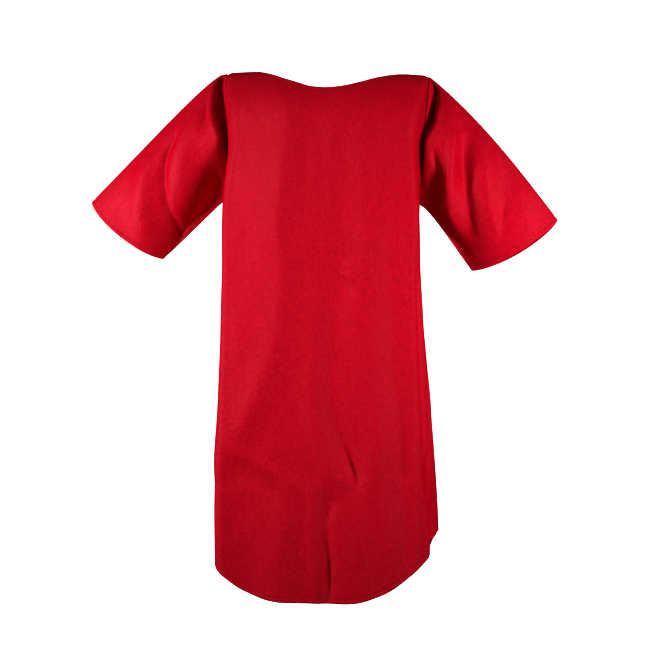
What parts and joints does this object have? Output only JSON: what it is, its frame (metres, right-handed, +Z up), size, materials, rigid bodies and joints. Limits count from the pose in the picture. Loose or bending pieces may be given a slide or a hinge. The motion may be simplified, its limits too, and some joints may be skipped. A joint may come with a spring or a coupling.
{
  "type": "roman tunic",
  "caption": "Knee-length wool tunic with a wide boat neck, short set-in sleeves and a curved shirt-tail hem, hollow and open as worn.",
  "frame": {"origin": "middle of the shoulder line, where the garment is held", "axes": "+X to the right hand of someone facing the front, -Y out of the front, +Z up"},
  "size_m": [0.9525, 0.2249, 1.051],
  "materials": {
    "wool": "matt, felted wool twill with a short nap"
  },
  "bodies": {
    "root": {"front": "wool", "back": "wool", "sleeve_left": "wool", "sleeve_right": "wool"}
  },
  "joints": []
}
